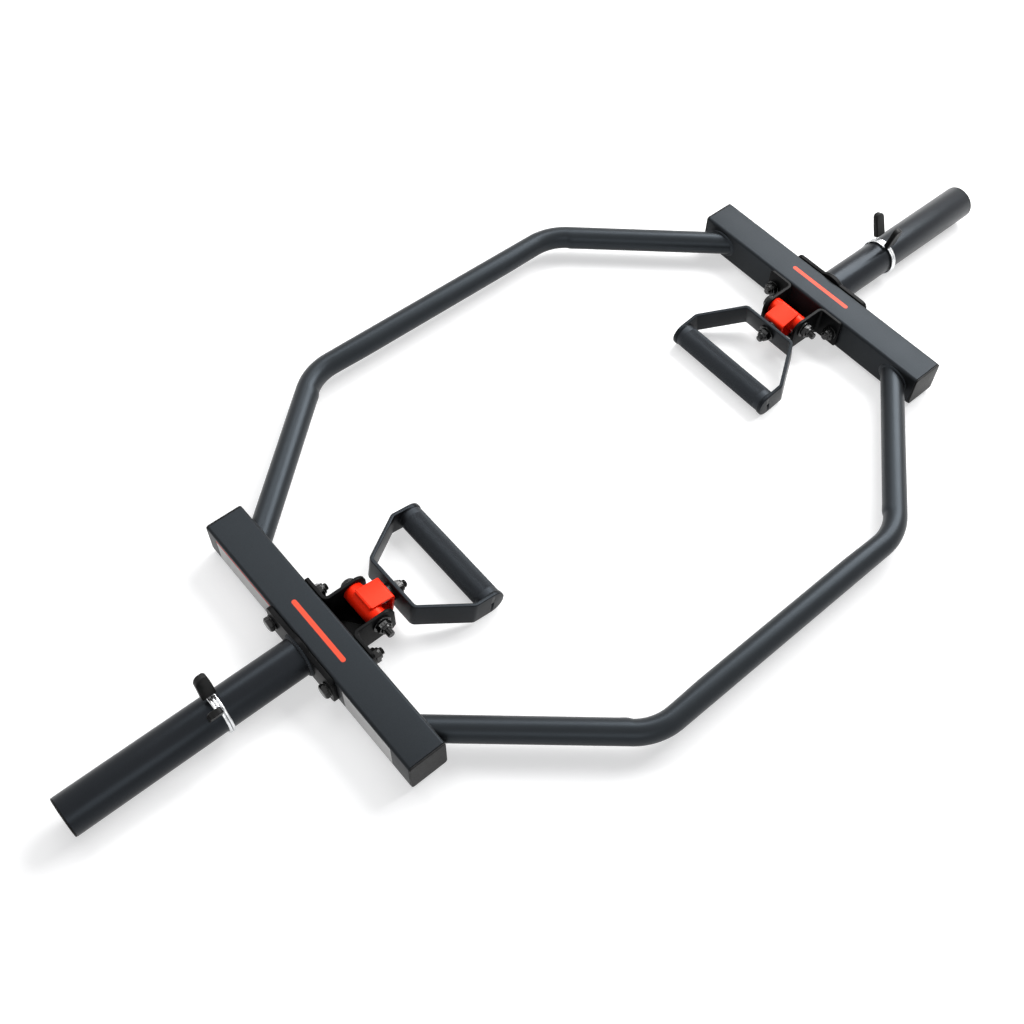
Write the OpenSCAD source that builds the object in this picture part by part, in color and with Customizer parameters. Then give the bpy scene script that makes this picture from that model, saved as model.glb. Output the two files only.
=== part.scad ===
// Hex trap bar: two cross beams joined by two bent tubes, a plate sleeve outside
// each beam, and a handle inside each beam that tips on a pivot bolt and turns on
// a swivel bolt. X runs along the sleeves, Y from front to rear, Z up. The origin is
// on the floor under the middle of the bar, which rests on its two sleeve plates.

/* [Beams] */
// Clear distance between the inner faces of the two beams
beam_gap = 808; // [780:1:860]
// Outside width and height of a beam's square tube
beam_size = 50; // [50:1:54]
// Wall of a beam's square tube
beam_wall = 3; // [2:0.5:4]
// Outside corner radius of a beam's square tube
beam_corner = 4; // [3.5:0.5:6]
// Length of a beam between its end caps
beam_len = 402; // [390:1:440]
// Thickness of a beam end cap outside the tube
cap_flange = 3; // [2:0.5:5]
// Depth that a beam end cap reaches into the tube
cap_depth = 16; // [10:1:24]
// Wall of the plugs of all end caps
cap_wall = 2.5; // [2:0.5:4]

/* [Frame tubes] */
// Outside diameter of the bent frame tubes
tube_d = 32; // [28:1:36]
// Wall of the bent frame tubes
tube_wall = 2.5; // [2:0.5:4]
// Distance in Y from the middle of a beam to where a tube meets it
tube_seat_y = 167; // [150:1:172]
// Distance in X from the middle of the bar to a tube's bend
tube_bend_x = 209; // [180:1:240]
// Distance in Y from the middle of the bar to the tube's straight run
tube_run_y = 338; // [320:1:360]
// Centre line radius of a tube's bends
tube_bend_r = 75; // [50:1:110]
// Height of the marks that the bending tool leaves at the ends of a tube's bends
bend_step = 0.1; // [0.05:0.05:0.3]
// Size of the weld beads between tubes and beams
tube_weld = 3; // [2:0.5:5]

/* [Sleeves] */
// Outside diameter of a plate sleeve
sleeve_d = 50; // [48:0.5:50.5]
// Wall of a plate sleeve
sleeve_wall = 3; // [2.5:0.5:6]
// Length of a plate sleeve without its end cap
sleeve_len = 297; // [260:1:360]
// Thickness of a sleeve end cap outside the tube
sleeve_cap_t = 2; // [1.5:0.5:5]
// Depth that a sleeve end cap reaches into the tube
sleeve_cap_depth = 14; // [8:1:20]
// Size of the weld bead between a sleeve and its plate
sleeve_weld_size = 4; // [2:0.5:4.5]
// Thickness of a sleeve plate
plate_t = 6; // [4:0.5:8]
// Width of a sleeve plate in Y
plate_w = 132; // [126:1:150]
// Radius of the round lobe of a sleeve plate about the sleeve
plate_lobe_r = 30; // [29.5:0.5:34]
// Corner radius of a sleeve plate
plate_corner = 9; // [4:1:14]

/* [Pivot brackets] */
// Thickness of a pivot bracket
ear_t = 4.5; // [4:0.5:6]
// Clear width between the two ears of a beam
ear_gap = 53; // [48:0.5:56]
// Distance that an ear stands out from the beam
ear_reach = 57.5; // [54:0.5:60]
// Distance in Y from the middle to the end of a bracket's flange
flange_end_y = 68; // [67:1:80]
// Depth of a bracket below the sleeve's axis
ear_below = 21; // [18:0.5:22]
// Inside radius of a bracket's bend
ear_bend_r = 4; // [2:0.5:5]
// Distance that the web between two ears stands out from the beam
web_reach = 44; // [40:0.5:45]
// Height of the web above the lower edges of its two ears
web_lift = 1; // [0.5:0.5:2]
// Radius of an ear's upper tip corner
ear_tip_r = 14; // [8:1:18]
// Chamfer of an ear's lower tip corner
ear_chamfer = 5; // [4:0.5:8]
// Corner radius of a bracket's flange
flange_corner = 4; // [2:0.5:8]
// Distance from a beam's inner face to the pivot bolt's axis
pivot_out = 38; // [37:0.5:40]
// Height of the pivot bolt's axis above the sleeve's axis
pivot_rise = 9; // [7:0.5:10]

/* [Plate bolts] */
// Diameter of the bolts through plate, beam and bracket
plate_bolt_d = 10; // [8:1:11]
// Distance in Y from the middle to a plate bolt
plate_bolt_y = 56; // [54:0.5:56]
// Width across the flats of a plate bolt's head and nut
plate_bolt_flats = 17; // [16:0.5:18]
// Thickness of a plate bolt's washers
plate_washer_t = 2; // [1:0.5:3]
// Length of a plate bolt that stands out of its nut
plate_thread_out = 4; // [1:0.5:6]

/* [Pivot and swivel bolts] */
// Diameter of the pivot and swivel bolts
pivot_d = 10; // [9:1:13]
// Width across the flats of a pivot or swivel bolt's head and nut
pivot_flats = 17; // [16:0.5:18]
// Outside diameter of the washers on the pivot and swivel bolts
pivot_washer_d = 24; // [21:0.5:26]
// Thickness of the washers on the pivot bolt
pivot_washer_t = 2.5; // [1:0.5:3]
// Length of a pivot bolt that stands out of its nut
pivot_thread_out = 8; // [1:0.5:10]
// Thickness of the washers on the swivel bolt
swivel_washer_t = 2.75; // [2.5:0.25:4]
// Length of a swivel bolt that stands out of its nut
swivel_thread_out = 5; // [1:0.5:8]

/* [Yoke] */
// Outside diameter of the pivot barrel
barrel_d = 26; // [24:1:28]
// Outside diameter of the bushes in the barrel
bush_d = 16; // [15:0.5:18]
// Length of each of the two bushes in the barrel
bush_len = 20; // [10:1:23]
// Thickness of the saddle's sheet
saddle_t = 3; // [2:0.5:4]
// Width of the saddle in Y
saddle_w = 33; // [24:1:42]
// Inside radius of the saddle's bends
saddle_bend_r = 1; // [0.5:0.5:2]
// Distance from the pivot axis to the back edges of the saddle
saddle_back = 4.3; // [2:0.1:7]
// Distance from the pivot axis to the front face of the saddle
saddle_front = 29.5; // [29:0.5:36]

/* [Handle] */
// Width of the handle's flat bar
strap_w = 35; // [34:1:40]
// Thickness of the handle's flat bar
strap_t = 5; // [4:0.5:7]
// Half width of the handle at its web, over the outside
strap_web_half = 44.4; // [38:0.1:50]
// Half width of the handle at its grip, over the outside
strap_grip_half = 85.1; // [76:0.1:95]
// Distance from the handle's web to the outer bends of its arms
strap_arm_len = 63.2; // [56:0.1:68]
// Inside radius of the handle's bends
strap_bend_r = 4; // [2:0.5:8]
// Distance from the pivot axis to the grip's axis
grip_out = 125.5; // [120:0.5:140]
// Outside diameter of the grip
grip_d = 33; // [28:0.5:33]
// Wall of the grip's tube
grip_wall = 2.5; // [1.5:0.5:5]
// Size of the weld beads at the ends of the grip
grip_weld = 1.5; // [1:0.5:3]
// Diameter of the vent hole at each end of the grip
vent_d = 5; // [3:0.5:10]

/* [Spring collars] */
// Distance in X from the middle of the bar to a collar's first turn
collar_x = 565; // [545:1:620]
// Diameter of a collar's spring wire
wire_d = 3.5; // [3:0.1:4]
// Gap in X between the turns of a collar's coil
coil_space = 0.2; // [0.1:0.1:1]
// Angle that a collar's coil turns beyond two full turns
collar_spread = 32; // [30:1:60]
// Angle from straight up to the middle of the left collar's grips, towards the front
left_collar_turn = 7.5; // [-60:0.5:60]
// Angle from straight up to the middle of the right collar's grips, towards the rear
right_collar_turn = 5; // [-60:0.5:60]
// Width of a collar grip in X
paddle_w = 17.5; // [12:0.5:22]
// Thickness of a collar grip
paddle_t = 8; // [6:0.5:9]
// Distance from the sleeve's axis to the tip of a collar grip
paddle_tip = 67.5; // [60:0.5:80]
// Corner radius at the tip of a collar grip
paddle_corner = 6; // [2:0.5:6]
// Length of a grip beyond the end of the wire in it
paddle_over = 13.5; // [6:0.5:18]

/* [Clearances] */
// Radial clearance of the bushes on the pivot bolt and of the handle on its bolt
running_gap = 0.06; // [0.02:0.01:0.09]
// Clearance of pieces that are pressed or screwed together
fit_gap = 0.04; // [0.02:0.01:0.1]
// Radial clearance of bolts in drilled holes
hole_gap = 0.4; // [0.2:0.1:0.6]
// Clearance at each end of the barrel between the ears
barrel_gap = 0.3; // [0.1:0.05:0.6]
// Clearance on each side of the handle's web between its washers
swivel_gap = 0.1; // [0.05:0.05:0.3]
// Radial clearance of a collar's coil on its sleeve
coil_gap = 0.3; // [0.3:0.05:0.5]

/* [Hidden] */
$fn = 64;
axis_z = plate_lobe_r;
beam_x = beam_gap / 2;
beam_out_x = beam_x + beam_size;
beam_bore = beam_size - 2 * beam_wall;
beam_bore_corner = max(0.5, beam_corner - beam_wall);
plate_x = beam_out_x + plate_t;
sleeve_r = sleeve_d / 2;
sleeve_end_x = plate_x + sleeve_len;
tube_r = tube_d / 2;
// Angle between a tube's leg and its straight run, and how much of each the bend takes
leg_turn = atan2(tube_run_y - tube_seat_y, beam_x - tube_bend_x);
leg_len = norm([tube_run_y - tube_seat_y, beam_x - tube_bend_x]);
bend_cut = tube_bend_r * tan(leg_turn / 2);
// How far a straight stretch reaches into its bend
bend_lap = 0.5;
ear_above = beam_size / 2;
ear_in_y = ear_gap / 2;
ear_out_y = ear_in_y + ear_t;
web_half = ear_in_y + ear_t / 2;
plate_bolt_r = plate_bolt_d / 2;
plate_washer_r = plate_bolt_d;
plate_nut_x = beam_x - ear_t - plate_washer_t;
pivot_r = pivot_d / 2;
pivot_x = beam_x - pivot_out;
pivot_z = axis_z + pivot_rise;
pivot_washer_y = ear_out_y + pivot_washer_t;
barrel_r = barrel_d / 2;
barrel_half = ear_in_y - barrel_gap;
saddle_in = barrel_r + fit_gap;
web_u = saddle_front + 2 * swivel_washer_t + swivel_gap;
web_in_u = web_u + strap_t;
swivel_washer_u = web_in_u + swivel_gap;
swivel_nut_u = swivel_washer_u + swivel_washer_t;
strap_end_r = strap_w / 2;
arm_u = web_u + strap_arm_len;
arm_turn = atan2(strap_grip_half - strap_web_half, strap_arm_len);
grip_r = grip_d / 2;
grip_half = strap_grip_half - strap_t;
// Droop at which the round ends of the handle's flat bar reach the floor
droop = asin((pivot_z - strap_end_r) / grip_out);
wire_r = wire_d / 2;
coil_r = sleeve_r + coil_gap + wire_r;
coil_turn = 720 + collar_spread;
coil_len = (wire_d + coil_space) * coil_turn / 360;
leg_bend_r = 1.1 * wire_d;
paddle_base = coil_r + leg_bend_r;
leg_tip = paddle_tip - paddle_over;
paddle_side = wire_r + 2;
wire_sides = 8;
coil_steps = 60;
bend_steps = 4;
arc_steps = 8;

// The right side is drawn, and the left is its mirror image. A collar is mirrored on both
// sides, on the right from front to rear, so that both coils are wound the same way
module left() mirror([1, 0, 0]) children();
module front() mirror([0, 1, 0]) children();
module front_and_rear() for (s = [0, 1]) mirror([0, s, 0]) children();

// Place of a drooping handle: X runs from the pivot axis to the grip, Y along the grip
module at_pivot() translate([pivot_x, 0, pivot_z]) rotate([0, 180 - droop, 0]) children();
module at_axis() translate([0, 0, axis_z]) children();
module at_plate_bolts() front_and_rear() translate([0, plate_bolt_y, axis_z]) children();

// Round bars along X and along Y, from one coordinate to another
module bar_x(r, from, to) translate([from, 0, 0]) rotate([0, 90, 0]) cylinder(r = r, h = to - from);
module bar_y(r, from, to) translate([0, from, 0]) rotate([-90, 0, 0]) cylinder(r = r, h = to - from);

// Ring along Z
module ring(r_out, r_in, h) difference() {
  cylinder(r = r_out, h = h);
  translate([0, 0, -1]) cylinder(r = r_in, h = h + 2);
}

// Rectangle with round corners about the origin
module round_rect(w, h, r) {
  square([w - 2 * r, h], center = true);
  square([w, h - 2 * r], center = true);
  for (x = [-1, 1], y = [-1, 1]) translate([x * (w / 2 - r), y * (h / 2 - r)]) circle(r);
}

// Hexagonal head under Z = 0 and shank above it, with a chamfered tip
module bolt(d, flats, length) {
  head = 0.63 * d;
  tip = d / 10;
  translate([0, 0, -head]) intersection() {
    cylinder(r = flats / sqrt(3), h = head, $fn = 6);
    cylinder(r1 = 0.48 * flats, r2 = 0.48 * flats + 2 * head, h = head);
  }
  cylinder(r = d / 2, h = length - tip);
  translate([0, 0, length - tip]) cylinder(r1 = d / 2, r2 = d / 2 - tip, h = tip);
}

// Hexagonal nut with the round collar of its locking ring, above Z = 0
module lock_nut(d, flats) difference() {
  union() {
    cylinder(r = flats / sqrt(3), h = 0.7 * d, $fn = 6);
    cylinder(r = 0.43 * flats, h = d);
  }
  translate([0, 0, -1]) cylinder(r = d / 2 + fit_gap, h = d + 2);
}

// Square tube along Y, drilled for the two plate bolts
module beam() color("#3b3f43") difference() {
  translate([beam_x + beam_size / 2, 0, axis_z]) rotate([90, 0, 0])
    linear_extrude(beam_len, center = true) difference() {
      round_rect(beam_size, beam_size, beam_corner);
      round_rect(beam_bore, beam_bore, beam_bore_corner);
    }
  at_plate_bolts() bar_x(plate_bolt_r + hole_gap, beam_x - 1, beam_out_x + 1);
}

// Plastic cap at the rear end of a beam, with a hollow plug
module beam_cap() color("#1c1d1f") {
  plug = beam_bore - 2 * fit_gap;
  translate([beam_x + beam_size / 2, beam_len / 2, axis_z]) rotate([-90, 0, 0]) {
    linear_extrude(cap_flange) round_rect(beam_size, beam_size, beam_corner);
    translate([0, 0, -cap_depth]) linear_extrude(cap_depth) difference() {
      round_rect(plug, plug, beam_bore_corner);
      square(plug - 2 * cap_wall, center = true);
    }
  }
}

// Plate that carries the sleeve, with a round lobe about the sleeve's axis
module sleeve_plate() color("#34373b") difference() {
  translate([beam_out_x, 0, axis_z]) rotate([90, 0, 90]) linear_extrude(plate_t) {
    round_rect(plate_w, beam_size, plate_corner);
    circle(plate_lobe_r);
  }
  at_plate_bolts() bar_x(plate_bolt_r + hole_gap, beam_out_x - 1, plate_x + 1);
}

module sleeve() color("#34373b") at_axis() difference() {
  bar_x(sleeve_r, plate_x, sleeve_end_x);
  bar_x(sleeve_r - sleeve_wall, plate_x - 1, sleeve_end_x + 1);
}

// Plastic cap at the end of a sleeve, with a hollow plug
module sleeve_cap() color("#1c1d1f") at_axis() {
  plug_r = sleeve_r - sleeve_wall - fit_gap;
  bar_x(sleeve_r, sleeve_end_x, sleeve_end_x + sleeve_cap_t);
  difference() {
    bar_x(plug_r, sleeve_end_x - sleeve_cap_depth, sleeve_end_x);
    bar_x(plug_r - cap_wall, sleeve_end_x - sleeve_cap_depth - 1, sleeve_end_x + 1);
  }
}

// Bead between a sleeve and its plate
module sleeve_weld() color("#2d3033") translate([plate_x, 0, axis_z]) rotate([0, 90, 0])
  rotate_extrude() translate([sleeve_r, 0]) intersection() {
    circle(sleeve_weld_size);
    square(sleeve_weld_size);
  }

// Leg of the right rear tube from its bend to beyond the beam's face
module tube_leg(r) translate([tube_bend_x, tube_run_y, axis_z]) rotate([0, 0, -leg_turn])
  bar_x(r, bend_cut - bend_lap, leg_len + tube_d);

// Round bar that follows the rear tube's whole path, a little thicker in its bends
module tube_run(r) {
  half_run = tube_bend_x - bend_cut;
  translate([0, tube_run_y, axis_z]) bar_x(r, -half_run - bend_lap, half_run + bend_lap);
  for (s = [0, 1]) mirror([s, 0, 0]) {
    translate([half_run, tube_run_y - tube_bend_r, axis_z]) rotate([0, 0, 90 - leg_turn])
      rotate_extrude(angle = leg_turn) translate([tube_bend_r, 0]) circle(r + bend_step);
    tube_leg(r);
  }
}

// Bent tube, cut flush with the inner faces of the beams
module frame_tube() color("#34383c") difference() {
  tube_run(tube_r);
  tube_run(tube_r - tube_wall);
  for (s = [0, 1]) mirror([s, 0, 0]) translate([beam_x, 0, 0])
    cube([leg_len, tube_run_y, axis_z + tube_d]);
}

// Beads where the two tubes meet a beam
module frame_welds() color("#2d3033") front_and_rear() difference() {
  intersection() {
    tube_leg(tube_r + tube_weld);
    translate([beam_x - tube_weld, 0, 0]) cube([tube_weld, tube_run_y, axis_z + tube_d]);
  }
  tube_leg(tube_r);
}

// Rear half of a pivot bracket: an ear and a flange joined by a bend
module ear() at_axis() {
  bend_out = ear_bend_r + ear_t;
  bend_x = beam_x - bend_out;
  bend_y = ear_in_y + bend_out;
  tip_x = beam_x - ear_reach;
  height = ear_above + ear_below;
  difference() {
    union() {
      translate([0, ear_out_y, 0]) rotate([90, 0, 0]) linear_extrude(ear_t) {
        polygon([[tip_x, ear_above - ear_tip_r], [tip_x, ear_chamfer - ear_below],
          [tip_x + ear_chamfer, -ear_below], [bend_x, -ear_below], [bend_x, ear_above],
          [tip_x + ear_tip_r, ear_above]]);
        translate([tip_x + ear_tip_r, ear_above - ear_tip_r]) circle(ear_tip_r);
      }
      translate([bend_x, bend_y, -ear_below]) rotate([0, 0, -90]) rotate_extrude(angle = 90)
        translate([ear_bend_r, 0]) square([ear_t, height]);
      translate([beam_x - ear_t, 0, 0]) rotate([90, 0, 90]) linear_extrude(ear_t) {
        translate([bend_y, -ear_below]) square([flange_end_y - bend_y - flange_corner, height]);
        translate([bend_y, flange_corner - ear_below])
          square([flange_end_y - bend_y, height - 2 * flange_corner]);
        for (z = [flange_corner - ear_below, ear_above - flange_corner])
          translate([flange_end_y - flange_corner, z]) circle(flange_corner);
      }
    }
    translate([0, plate_bolt_y, 0]) bar_x(plate_bolt_r + hole_gap, beam_x - 2 * ear_t, beam_x + 1);
    translate([pivot_x, 0, pivot_rise]) bar_y(pivot_r + hole_gap, ear_in_y - 1, ear_out_y + 1);
  }
}

// Pivot bracket: two ears and the web between their lower edges
module bracket() color("#2b2d30") {
  front_and_rear() ear();
  translate([beam_x - web_reach, -web_half, axis_z + web_lift - ear_below])
    cube([web_reach, 2 * web_half, ear_t]);
}

module plate_bolts() color("#26282a") at_plate_bolts()
  translate([plate_x + plate_washer_t, 0, 0]) rotate([0, -90, 0]) bolt(plate_bolt_d, plate_bolt_flats,
    plate_x + plate_washer_t - plate_nut_x + plate_bolt_d + plate_thread_out);

module plate_washers() color("#26282a") at_plate_bolts()
  for (x = [plate_x, plate_nut_x]) translate([x, 0, 0]) rotate([0, 90, 0])
    ring(plate_washer_r, plate_bolt_r + hole_gap, plate_washer_t);

module plate_nuts() color("#26282a") at_plate_bolts()
  translate([plate_nut_x, 0, 0]) rotate([0, -90, 0]) lock_nut(plate_bolt_d, plate_bolt_flats);

// Pivot bolt along Y, with its head at the rear and its nut at the front
module pivot_bolt() color("#26282a") translate([pivot_x, pivot_washer_y, pivot_z]) rotate([90, 0, 0])
  bolt(pivot_d, pivot_flats, 2 * pivot_washer_y + pivot_d + pivot_thread_out);

module pivot_washers() color("#26282a") front_and_rear() translate([pivot_x, ear_out_y, pivot_z])
  rotate([-90, 0, 0]) ring(pivot_washer_d / 2, pivot_r + hole_gap, pivot_washer_t);

module pivot_nut() color("#26282a") translate([pivot_x, -pivot_washer_y, pivot_z]) rotate([90, 0, 0])
  lock_nut(pivot_d, pivot_flats);

// Barrel that turns on the pivot bolt between the ears
module barrel() color("#f0351f") at_pivot() difference() {
  bar_y(barrel_r, -barrel_half, barrel_half);
  bar_y(bush_d / 2, -barrel_half - 1, barrel_half + 1);
}

module barrel_bushes() color("#c9b27a") at_pivot() front_and_rear()
  translate([0, barrel_half - bush_len, 0]) rotate([-90, 0, 0])
    ring(bush_d / 2 - fit_gap, pivot_r + running_gap, bush_len);

// Side outline of the space under a bent sheet with its two front corners round
module saddle_side(back, front, half, r) {
  translate([-back, -half]) square([back + front - r, 2 * half]);
  translate([front - 2 * r, r - half]) square([2 * r, 2 * (half - r)]);
  for (s = [-1, 1]) translate([front - r, s * (half - r)]) circle(r);
}

// Bent sheet that holds the barrel above and below and carries the swivel bolt
module saddle() color("#f0351f") at_pivot() difference() {
  rotate([90, 0, 0]) linear_extrude(saddle_w, center = true) difference() {
    saddle_side(saddle_back, saddle_front, saddle_in + saddle_t, saddle_bend_r + saddle_t);
    saddle_side(saddle_back + 1, saddle_front - saddle_t, saddle_in, saddle_bend_r);
  }
  bar_x(pivot_r + hole_gap, barrel_r, saddle_front + 1);
}

// Swivel bolt along the handle, with its head inside the saddle
module swivel_bolt() color("#26282a") at_pivot() translate([saddle_front - saddle_t, 0, 0])
  rotate([0, 90, 0]) bolt(pivot_d, pivot_flats,
    swivel_nut_u - saddle_front + saddle_t + pivot_d + swivel_thread_out);

module swivel_washers() color("#26282a") at_pivot()
  for (u = [saddle_front, saddle_front + swivel_washer_t, swivel_washer_u])
    translate([u, 0, 0]) rotate([0, 90, 0])
      ring(pivot_washer_d / 2, pivot_r + hole_gap, swivel_washer_t);

module swivel_nut() color("#26282a") at_pivot() translate([swivel_nut_u, 0, 0]) rotate([0, 90, 0])
  lock_nut(pivot_d, pivot_flats);

// Points along the arc of radius r that rounds corner p between two headings, turning right
function corner(p, from, to, r) = let (
    start = p - r * tan((from - to) / 2) * [cos(from), sin(from)],
    centre = start + r * [sin(from), -cos(from)])
  [for (i = [0:arc_steps]) let (a = from + (to - from) * i / arc_steps) centre + r * [-sin(a), cos(a)]];

// Half of the handle's outline from above, a given depth under its outside
function arm_line(depth) = let (r = strap_bend_r + strap_t - depth) concat(
  corner([web_u + depth, strap_web_half - depth * tan((90 - arm_turn) / 2)], 90, arm_turn, r),
  corner([arm_u + depth * tan(arm_turn / 2), strap_grip_half - depth], arm_turn, 0, r),
  [[grip_out + strap_w, strap_grip_half - depth]]);
function reverse(list) = [for (i = [len(list) - 1:-1:0]) list[i]];
function flip(list) = [for (p = list) [p.x, -p.y]];

// Flat bar bent into a web and two arms, with round ends
module handle_strap() color("#2f3235") at_pivot() difference() {
  intersection() {
    linear_extrude(strap_w, center = true) polygon(concat(arm_line(0), reverse(arm_line(strap_t)),
      flip(arm_line(strap_t)), reverse(flip(arm_line(0)))));
    rotate([90, 0, 0]) linear_extrude(3 * strap_grip_half, center = true) {
      translate([0, -strap_end_r]) square([grip_out, strap_w]);
      translate([grip_out, 0]) circle(strap_end_r);
    }
  }
  translate([grip_out, 0, 0]) bar_y(vent_d / 2, -strap_grip_half - 1, strap_grip_half + 1);
  bar_x(pivot_r + running_gap, 0, web_in_u + 1);
}

// Tube of the grip, closed by the two ends of the flat bar
module hand_grip() color("#24272a") at_pivot() translate([grip_out, 0, 0]) difference() {
  bar_y(grip_r, -grip_half, grip_half);
  bar_y(grip_r - grip_wall, -grip_half - 1, grip_half + 1);
}

module grip_welds() color("#2f3235") at_pivot() translate([grip_out, 0, 0]) front_and_rear()
  translate([0, grip_half, 0]) rotate([90, 0, 0]) rotate_extrude() translate([grip_r, 0])
    polygon([[0, 0], [strap_end_r - grip_r, 0], [0, grip_weld]]);

// Point at a distance r along the direction a, and t across it, about the sleeve's axis
function polar(x, r, t, a) = [x, r * cos(a) - t * sin(a), r * sin(a) + t * cos(a)];

// Centre line of a collar's wire: in along one leg, round the coil, out along the other
function wire_path(first, last) = let (x0 = collar_x, x1 = collar_x + coil_len, b = leg_bend_r) concat(
  [polar(x0, leg_tip, -b, first)],
  [for (i = [0:bend_steps - 1]) let (a = 90 * i / bend_steps)
    polar(x0, coil_r + b * (1 - sin(a)), -b * cos(a), first)],
  [for (i = [0:coil_steps]) polar(x0 + coil_len * i / coil_steps, coil_r, 0,
    first + (last - first) * i / coil_steps)],
  [for (i = [1:bend_steps]) let (a = 90 * i / bend_steps)
    polar(x1, coil_r + b * (1 - cos(a)), b * sin(a), last)],
  [polar(x1, leg_tip, b, last)]);

// Round bar swept along points, none of which lead along X
function unit(v) = v / norm(v);
module swept_wire(p) {
  ends = len(p) - 1;
  rings = [for (i = [0:ends]) let (
      along = unit(p[min(i + 1, ends)] - p[max(i - 1, 0)]),
      across = unit(cross(along, [1, 0, 0])),
      up = cross(along, across))
    for (k = [0:wire_sides - 1]) let (a = 360 * k / wire_sides)
      p[i] + wire_r * (cos(a) * across + sin(a) * up)];
  walls = [for (i = [0:ends - 1], k = [0:wire_sides - 1]) let (m = (k + 1) % wire_sides)
    [i * wire_sides + m, i * wire_sides + k, (i + 1) * wire_sides + k, (i + 1) * wire_sides + m]];
  polyhedron(rings, concat([[for (k = [0:wire_sides - 1]) k]], walls,
    [[for (k = [wire_sides - 1:-1:0]) ends * wire_sides + k]]));
}

// Directions from the sleeve's axis in which the legs of a collar's wire leave the coil
function first_leg(turn) = 90 + turn - collar_spread / 2;
function last_leg(turn) = first_leg(turn) + coil_turn;

module collar_spring(turn) color("#d9dcde") at_axis()
  swept_wire(wire_path(first_leg(turn), last_leg(turn)));

// Moulded grip along +Y with a blind hole for the leg of the wire at X = 0
module paddle() {
  length = paddle_tip - paddle_base;
  difference() {
    translate([paddle_w / 2 - paddle_side, paddle_base + length / 2, -paddle_t / 2])
      linear_extrude(paddle_t) {
        round_rect(paddle_w, length, paddle_corner);
        translate([-paddle_w / 2, -length / 2]) square([paddle_w, length / 2]);
      }
    bar_y(wire_r + fit_gap, paddle_base - 1, leg_tip + fit_gap);
  }
}

module inner_grip(turn) color("#1b1c1d") at_axis() rotate([first_leg(turn), 0, 0])
  translate([collar_x, 0, -leg_bend_r]) paddle();
module outer_grip(turn) color("#1b1c1d") at_axis() rotate([last_leg(turn), 0, 0])
  translate([collar_x + coil_len, 0, leg_bend_r]) paddle();

front() frame_tube();  // front_tube
frame_tube();  // rear_tube
left() beam();  // left_beam
left() front() beam_cap();  // left_front_cap
left() beam_cap();  // left_rear_cap
left() sleeve_plate();  // left_sleeve_plate
left() sleeve();  // left_sleeve
left() sleeve_cap();  // left_sleeve_cap
left() sleeve_weld();  // left_sleeve_weld
left() frame_welds();  // left_frame_welds
left() bracket();  // left_pivot_bracket
left() plate_bolts();  // left_plate_bolts
left() plate_washers();  // left_plate_washers
left() plate_nuts();  // left_plate_nuts
left() pivot_bolt();  // left_pivot_bolt
left() pivot_washers();  // left_pivot_washers
left() pivot_nut();  // left_pivot_nut
left() barrel();  // left_barrel
left() barrel_bushes();  // left_barrel_bushes
left() saddle();  // left_saddle
left() swivel_bolt();  // left_swivel_bolt
left() swivel_washers();  // left_swivel_washers
left() swivel_nut();  // left_swivel_nut
left() handle_strap();  // left_handle_strap
left() hand_grip();  // left_hand_grip
left() grip_welds();  // left_grip_welds
left() collar_spring(left_collar_turn);  // left_collar_spring
left() inner_grip(left_collar_turn);  // left_collar_inner_grip
left() outer_grip(left_collar_turn);  // left_collar_outer_grip
beam();  // right_beam
front() beam_cap();  // right_front_cap
beam_cap();  // right_rear_cap
sleeve_plate();  // right_sleeve_plate
sleeve();  // right_sleeve
sleeve_cap();  // right_sleeve_cap
sleeve_weld();  // right_sleeve_weld
frame_welds();  // right_frame_welds
bracket();  // right_pivot_bracket
plate_bolts();  // right_plate_bolts
plate_washers();  // right_plate_washers
plate_nuts();  // right_plate_nuts
pivot_bolt();  // right_pivot_bolt
pivot_washers();  // right_pivot_washers
pivot_nut();  // right_pivot_nut
barrel();  // right_barrel
barrel_bushes();  // right_barrel_bushes
saddle();  // right_saddle
swivel_bolt();  // right_swivel_bolt
swivel_washers();  // right_swivel_washers
swivel_nut();  // right_swivel_nut
handle_strap();  // right_handle_strap
hand_grip();  // right_hand_grip
grip_welds();  // right_grip_welds
front() collar_spring(right_collar_turn);  // right_collar_spring
front() inner_grip(right_collar_turn);  // right_collar_inner_grip
front() outer_grip(right_collar_turn);  // right_collar_outer_grip
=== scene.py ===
import math

import bmesh
import bpy
import numpy as np
from mathutils import Matrix, Vector


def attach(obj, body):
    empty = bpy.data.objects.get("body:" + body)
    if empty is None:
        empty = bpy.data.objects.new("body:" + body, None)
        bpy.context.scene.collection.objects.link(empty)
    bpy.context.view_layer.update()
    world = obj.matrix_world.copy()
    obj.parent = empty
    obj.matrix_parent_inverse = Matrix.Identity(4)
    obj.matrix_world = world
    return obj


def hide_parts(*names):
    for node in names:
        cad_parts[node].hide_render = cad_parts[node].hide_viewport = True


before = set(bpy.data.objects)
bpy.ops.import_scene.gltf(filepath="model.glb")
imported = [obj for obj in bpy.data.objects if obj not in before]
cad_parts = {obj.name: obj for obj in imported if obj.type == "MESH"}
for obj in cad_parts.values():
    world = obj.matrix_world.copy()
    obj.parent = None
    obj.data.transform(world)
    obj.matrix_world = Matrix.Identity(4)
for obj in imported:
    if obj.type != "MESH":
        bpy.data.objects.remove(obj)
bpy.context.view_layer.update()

mm = 0.001
sides = {"left": -1, "right": 1}
axisHeight = 30.0  # the sleeves' axis above the floor, in millimetres like every size below
turnOnce = 2 * math.pi
# Every shell below is (points, faces), in millimetres, on the right-hand side of the bar


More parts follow.
